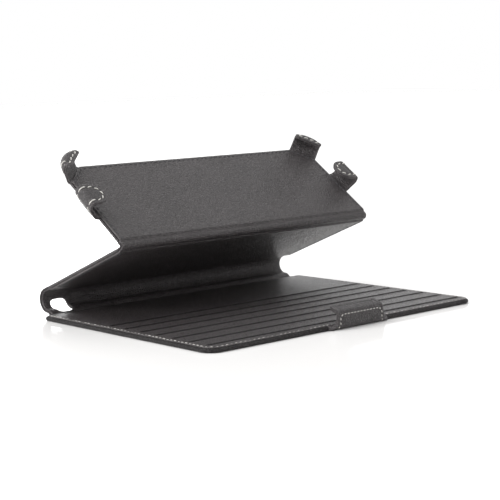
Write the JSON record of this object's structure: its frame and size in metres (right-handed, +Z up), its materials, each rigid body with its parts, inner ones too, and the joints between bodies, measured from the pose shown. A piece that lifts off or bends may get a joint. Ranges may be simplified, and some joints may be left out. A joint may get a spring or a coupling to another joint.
{
  "type": "tablet case",
  "caption": "Folding leather tablet case standing open as an easel: flat cover, leg and holder hinged at soft folds, with hooked straps and a front stop tab.",
  "frame": {"origin": "centre of the cover's underside", "axes": "+X along the case's long edge, +Y from the front edge to the spine, +Z up from the table"},
  "size_m": [0.2472, 0.1998, 0.1172],
  "materials": {
    "outer_leather": "grained, semi-matt",
    "lining_leather": "fine-grained, matt",
    "stiffener_board": "uncoated fibre board",
    "sewing_thread": "twisted polyester",
    "tonal_thread": "twisted polyester, dyed to match the leather"
  },
  "bodies": {
    "cover": {"cover_outer_leather": "outer_leather", "cover_board": "stiffener_board", "cover_lining": "lining_leather", "cover_thread": "sewing_thread", "spine_leather": "outer_leather", "spine_lining": "lining_leather", "tab_root_leather": "outer_leather"},
    "leg": {"leg_outer_leather": "outer_leather", "leg_board": "stiffener_board", "leg_lining": "lining_leather", "leg_thread": "tonal_thread", "crease_leather": "outer_leather", "crease_lining": "lining_leather"},
    "holder": {"holder_outer_leather": "outer_leather", "holder_board": "stiffener_board", "holder_lining": "lining_leather", "holder_thread": "tonal_thread"},
    "side_strap_left": {"side_strap_left_leather": "outer_leather", "side_strap_left_lining": "lining_leather", "side_strap_left_thread": "sewing_thread"},
    "side_strap_right": {"side_strap_right_leather": "outer_leather", "side_strap_right_lining": "lining_leather", "side_strap_right_thread": "sewing_thread"},
    "corner_strap_left": {"corner_strap_left_leather": "outer_leather", "corner_strap_left_lining": "lining_leather", "corner_strap_left_thread": "sewing_thread"},
    "corner_strap_right": {"corner_strap_right_leather": "outer_leather", "corner_strap_right_lining": "lining_leather", "corner_strap_right_thread": "sewing_thread"},
    "tab_riser": {"tab_riser_leather": "outer_leather", "tab_stiffener": "stiffener_board", "tab_riser_lining": "lining_leather", "tab_thread": "sewing_thread", "tab_fold_leather": "outer_leather", "tab_fold_lining": "lining_leather"},
    "tab_tip": {"tab_tip_leather": "outer_leather", "tab_tip_lining": "lining_leather"}
  },
  "joints": [
    {"name": "spine_fold", "type": "hinge", "parent": "cover", "child": "leg", "pos_m": [0, 0.097, 0.0119], "axis": [1, 0, 0], "range_deg": [-105, 21.5], "deforming": ["spine_leather", "spine_lining"]},
    {"name": "back_crease", "type": "hinge", "parent": "leg", "child": "holder", "pos_m": [0, 0.00718, 0.05674], "axis": [-1, 0, 0], "range_deg": [-124, 46], "deforming": ["crease_leather", "crease_lining"]},
    {"name": "side_strap_left_flex", "type": "hinge", "parent": "holder", "child": "side_strap_left", "pos_m": [-0.114, 0.03891, 0.07854], "axis": [0, -0.8241, -0.5664], "range_deg": [0, 50], "stiffness_Nm_per_rad": 0.05},
    {"name": "side_strap_right_flex", "type": "hinge", "parent": "holder", "child": "side_strap_right", "pos_m": [0.114, 0.03891, 0.07854], "axis": [0, 0.8241, 0.5664], "range_deg": [0, 50], "stiffness_Nm_per_rad": 0.05},
    {"name": "corner_strap_left_flex", "type": "hinge", "parent": "holder", "child": "corner_strap_left", "pos_m": [-0.1065, 0.06858, 0.09893], "axis": [-0.7071, -0.5827, -0.4005], "range_deg": [0, 40], "stiffness_Nm_per_rad": 0.05},
    {"name": "corner_strap_right_flex", "type": "hinge", "parent": "holder", "child": "corner_strap_right", "pos_m": [0.1065, 0.06858, 0.09893], "axis": [-0.7071, 0.5827, 0.4005], "range_deg": [0, 40], "stiffness_Nm_per_rad": 0.05},
    {"name": "tab_fold", "type": "hinge", "parent": "cover", "child": "tab_riser", "pos_m": [0.0045, -0.0937, 0.0014], "axis": [1, 0, 0], "range_deg": [0, 90], "deforming": ["tab_root_leather"]},
    {"name": "tab_tip_fold", "type": "hinge", "parent": "tab_riser", "child": "tab_tip", "pos_m": [0.0045, -0.09225, 0.01107], "axis": [1, 0, 0], "range_deg": [-12, 70], "deforming": ["tab_fold_leather", "tab_fold_lining"]}
  ]
}
